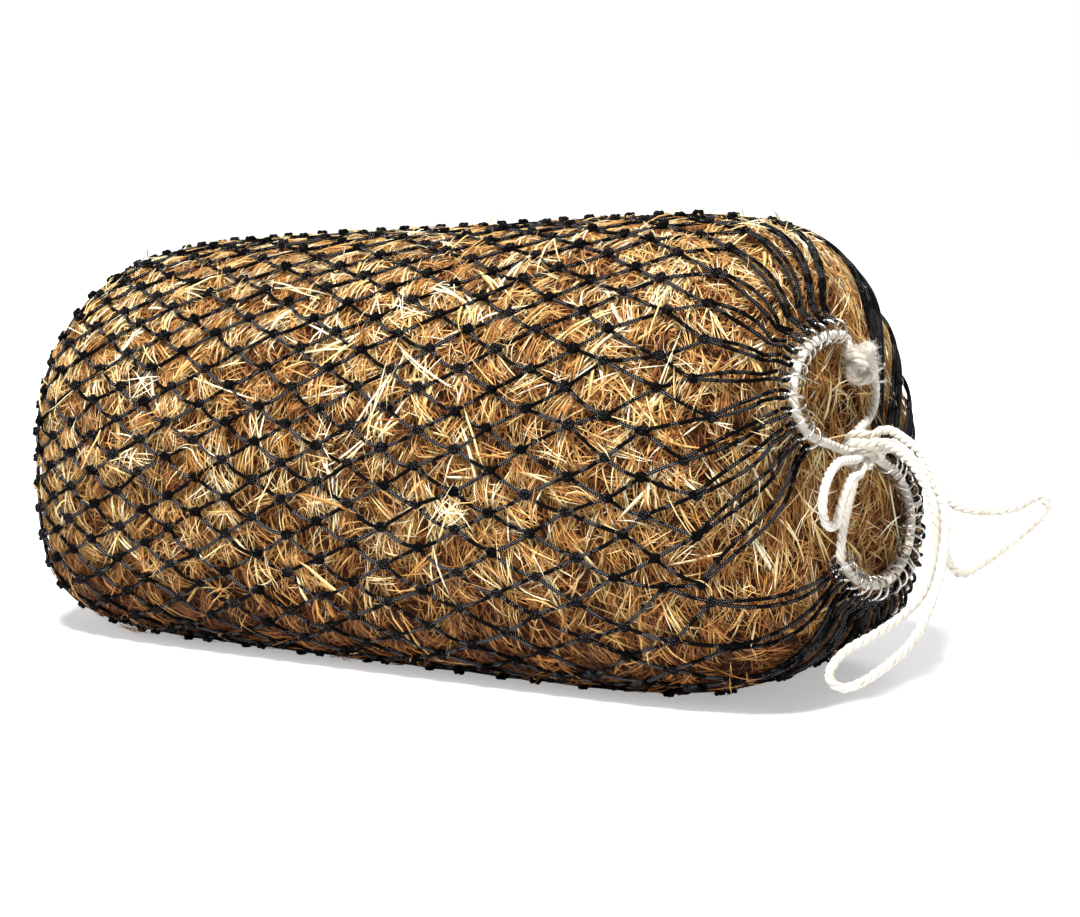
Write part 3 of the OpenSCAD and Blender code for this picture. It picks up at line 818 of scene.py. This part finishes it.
# the upper loop, in two runs from the hitch to the end knot
KNOT = near(upper_loop.centre, 49, 22, 8)
upper_legs = [
    [near(HITCH, -4, -2, -2), near(HITCH, -22, 3, -5), near(HITCH, -50, 12, -6),
     *[upper_loop.at(b) for b in np.linspace(226, 66, 14)], near(KNOT, -14, 10, -4)],
    [near(KNOT, 10, 4, -4), near(KNOT, 30, 4, -8), *[upper_loop.at(b) for b in np.linspace(16, -28, 4)],
     near(HITCH, 40, 25, -6), near(HITCH, 14, 18, -5), near(HITCH, 2, 6, -2)],
]
lower_leg = [
    near(HITCH, 2, -4, -2), near(HITCH, 21, -2, -5), *[lower_loop.at(b) for b in np.linspace(62, -160, 18)],
    near(HITCH, -40, -62, -6), near(HITCH, -7, -23, -4), near(HITCH, -1, -4, 0)
]
for node, legs, body, loop in (
    ("upper_rope_loop", upper_legs, "upper_draw_loop", upper_loop),
    ("lower_rope_loop", [lower_leg], "lower_draw_loop", lower_loop),
):
    add_rope(node, legs, blend_from_hitch())

KNOT_SIZE = 5.8
KNOT_ROPE = 5.6 * MM      # radius of the rope where it is drawn up in the knot
KNOT_DEPTH = 8
end_knot = [
    near(
        KNOT,
        KNOT_SIZE * (math.sin(a) + 2 * math.sin(2 * a)),
        KNOT_SIZE * (math.cos(a) - 2 * math.cos(2 * a)),
        -KNOT_DEPTH * math.sin(3 * a)
    )
    for a in np.radians(np.arange(-6, 343, 12))
]
knot_rope, knot_path = laid_rope("rope_end_knot_rope", end_knot, KNOT_ROPE)
knot_core = [near(KNOT, *step) for step in ((-9, 3, 0), (0, 2, 3), (9, -2, 0))]
heart, heart_path = laid_rope("rope_end_knot_heart", knot_core, 8 * MM)
knot_parts = [
    knot_rope, heart,
    fuzz("rope_end_knot_fibres", knot_path, KNOT_ROPE, 16000, 5 * MM, 90),
    fuzz("rope_end_knot_fray", heart_path, 9 * MM, 50000, 10 * MM, 91),
]
for part in knot_parts:
    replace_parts(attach(part, "upper_draw_loop"), "rope_end_knot")


def hitch_turns(turns, radius, tilt, spacing):
    """Turns of rope round an axis in the mouth face that leans over by tilt, to the right at its top."""
    points = []
    for a in np.linspace(0, 2 * math.pi * turns, 10 * turns + 1):
        along = (a / (2 * math.pi * turns) - 0.5) * turns * spacing
        aside = radius * math.sin(a)
        across = aside * math.cos(tilt) + along * math.sin(tilt)
        up = along * math.cos(tilt) - aside * math.sin(tilt)
        points.append(near(HITCH, across, up, radius * math.cos(a)))
    return points


core = [near(HITCH, x, v, 0) for x, v in ((-10, -14), (-4, -6), (4, 6), (10, 14))]
over_steps = ((-27, 10, 4), (-14, 6, 15), (4, -2, 19), (20, -9, 13), (31, -10, 2))
over = [near(HITCH, *step) for step in over_steps]
hitch = [hitch_turns(turns=3, radius=10.5 * 1.1, tilt=0.6, spacing=9.5), core, over]
add_rope("rope_hitch", hitch, lambda obj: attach(obj, "filled_net"))

bow = [
    (0, 0, 4), (-24, -6, 7), (-70, -4, 9), (-105, -16, 11), (-120, -38, 10), (-110, -57, 7), (-90, -60, 7),
    (-78, -38, 12), (-54, -22, 12), (-25, -20, 9), (-2, -8, 6)
]
bow = [near(HITCH, *step) for step in bow]
add_rope("small_bow_loop", [bow], blend_from_hitch())

long_bight = steps_from_hitch([
    (2, -2, 3), (22, -3, 10), (52, -16, 2), (76, -32, -15), (98, -48, -46), (102, -58, -84), (98, -72, -118),
    (84, -88, -139), (64, -106, -156), (44, -124, -170), (34, -137, -186), (38, -142, -198), (52, -136, -202),
    (74, -118, -188), (98, -96, -160), (110, -76, -120), (114, -62, -79), (106, -46, -38), (78, -24, 0),
    (48, -6, 16), (24, 6, 21), (4, 4, 10)
])
add_rope("long_rope_loop", [long_bight], blend_from_hitch())

outer_bight = steps_from_hitch([
    (6, 6, 2), (28, 22, 6), (56, 28, -22), (80, 32, -48), (110, 34, -55), (146, 34, -49), (170, 34, -36),
    (178, 34, -46), (166, 34, -62), (140, 34, -86), (112, 34, -108), (92, 36, -118), (76, 42, -104),
    (68, 46, -74), (54, 46, -38), (42, 44, -16), (26, 38, 0), (6, 14, -4)
])
add_rope("outer_rope_loop", [outer_bight], blend_from_hitch())

# ---- closing cord at the closed end ----

CLOSING_CORD = 2 * MM     # radius of the cord
t = np.linspace(0, 2 * math.pi, 73)
closing_centre = np.array([(closing_low.x + closing_high.x) / 2, 0, (closing_low.z + closing_high.z) / 2])
closing_radius = (closing_high.y - closing_low.y) / 2 - CLOSING_CORD
closing_circle = np.stack([np.zeros(73), np.cos(t), np.sin(t)], axis=-1)
closing_path = closing_centre + closing_radius * closing_circle
along_bag = np.array([1.0, 0, 0])
closing = tubes("closing_cord_braid", closing_path[None], CLOSING_CORD, CLOSING_CORD, along_bag, 8, NET)
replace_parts(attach(closing, "filled_net"), "closing_cord")

# ---- floor, light and camera ----


def seen_by_camera(n):
    return n.tree.nodes.new("ShaderNodeLightPath").outputs["Is Camera Ray"]


def add_floor():
    """A pale floor that brightens to the white of the background further out."""
    n = Nodes("floor", 0.6, Specular_IOR_Level=0.2)
    away = n.tree.nodes.new("ShaderNodeVectorMath")
    away.operation = "LENGTH"
    n.put(n.position(), away.inputs[0])
    glow = n.tree.nodes.new("ShaderNodeMapRange")
    glow.interpolation_type = "SMOOTHSTEP"
    for socket, value in zip(glow.inputs, (away.outputs[1], 0.5, 1.8, 0.4, 1.0)):
        n.put(value, socket)
    n.put(n.math("MULTIPLY", glow.outputs[0], seen_by_camera(n)), n.surface.inputs["Emission Strength"])
    n.put((1, 1, 1, 1), n.surface.inputs["Emission Color"])
    material = n.finish(srgb("#EFEFF1"))
    mesh = bpy.data.meshes.new("floor")
    reach = 14.0
    corners = [(-reach, -reach, 0), (reach, -reach, 0), (reach, reach, 0), (-reach, reach, 0)]
    mesh.from_pydata(corners, [], [(0, 1, 2, 3)])
    mesh.materials.append(material)
    floor = bpy.data.objects.new("floor", mesh)
    bpy.context.scene.collection.objects.link(floor)


def add_world(ambient):
    """White to the camera, and a softer light to everything else."""
    world = bpy.data.worlds.new("studio")
    world.use_nodes = True
    tree = world.node_tree
    path = tree.nodes.new("ShaderNodeLightPath")
    strength = tree.nodes.new("ShaderNodeMix")
    tree.links.new(path.outputs["Is Camera Ray"], strength.inputs[0])
    strength.inputs[2].default_value = ambient
    strength.inputs[3].default_value = 1.0
    background = tree.nodes["Background"]
    background.inputs[0].default_value = (1, 1, 1, 1)
    tree.links.new(strength.outputs[0], background.inputs[1])
    bpy.context.scene.world = world


def add_area_light(name, place, target, size, power):
    light = bpy.data.lights.new(name, "AREA")
    light.shape = "DISK"
    light.size = size
    light.energy = power
    obj = bpy.data.objects.new(name, light)
    obj.location = place
    aim = np.array(target) - np.array(place)
    obj.rotation_euler = direction_rotation(aim)
    bpy.context.scene.collection.objects.link(obj)


def direction_rotation(aim):
    """Turn of a lamp or camera so that it faces along aim, with +Z up in its picture."""
    yaw = math.atan2(aim[0], aim[1])
    pitch = math.atan2(aim[2], math.hypot(aim[0], aim[1]))
    return (math.pi / 2 + pitch, 0, -yaw)


add_floor()
add_world(0.19)
for name, place, target, size, power in (
    ("key", (0.3, -1.6, 3.2), (0, 0, 0.25), 0.9, 255),
    ("fill_left", (-2.6, -1.8, 1.2), (0, 0, 0.25), 1.8, 35),
    ("fill_right", (2.6, -1.3, 1.1), (0.3, 0, 0.25), 1.5, 12),
    ("back", (0.5, 2.6, 2.4), (0, 0, 0.3), 1.8, 40),
):
    add_area_light(name, place, target, size, power)

AZIMUTH, ELEVATION, DISTANCE = math.radians(31), math.radians(7.5), 3.05
TARGET = np.array([0, 0, 0.222])
back = np.array([
    math.sin(AZIMUTH) * math.cos(ELEVATION), -math.cos(AZIMUTH) * math.cos(ELEVATION), math.sin(ELEVATION)
])
camera_data = bpy.data.cameras.new("camera")
camera_data.lens = 96
camera_data.shift_x = 0.071
camera_data.shift_y = -0.02
camera = bpy.data.objects.new("camera", camera_data)
camera.location = TARGET + DISTANCE * back
camera.rotation_euler = direction_rotation(-back)
bpy.context.scene.collection.objects.link(camera)
bpy.context.scene.camera = camera
bpy.context.scene.view_settings.view_transform = "Standard"
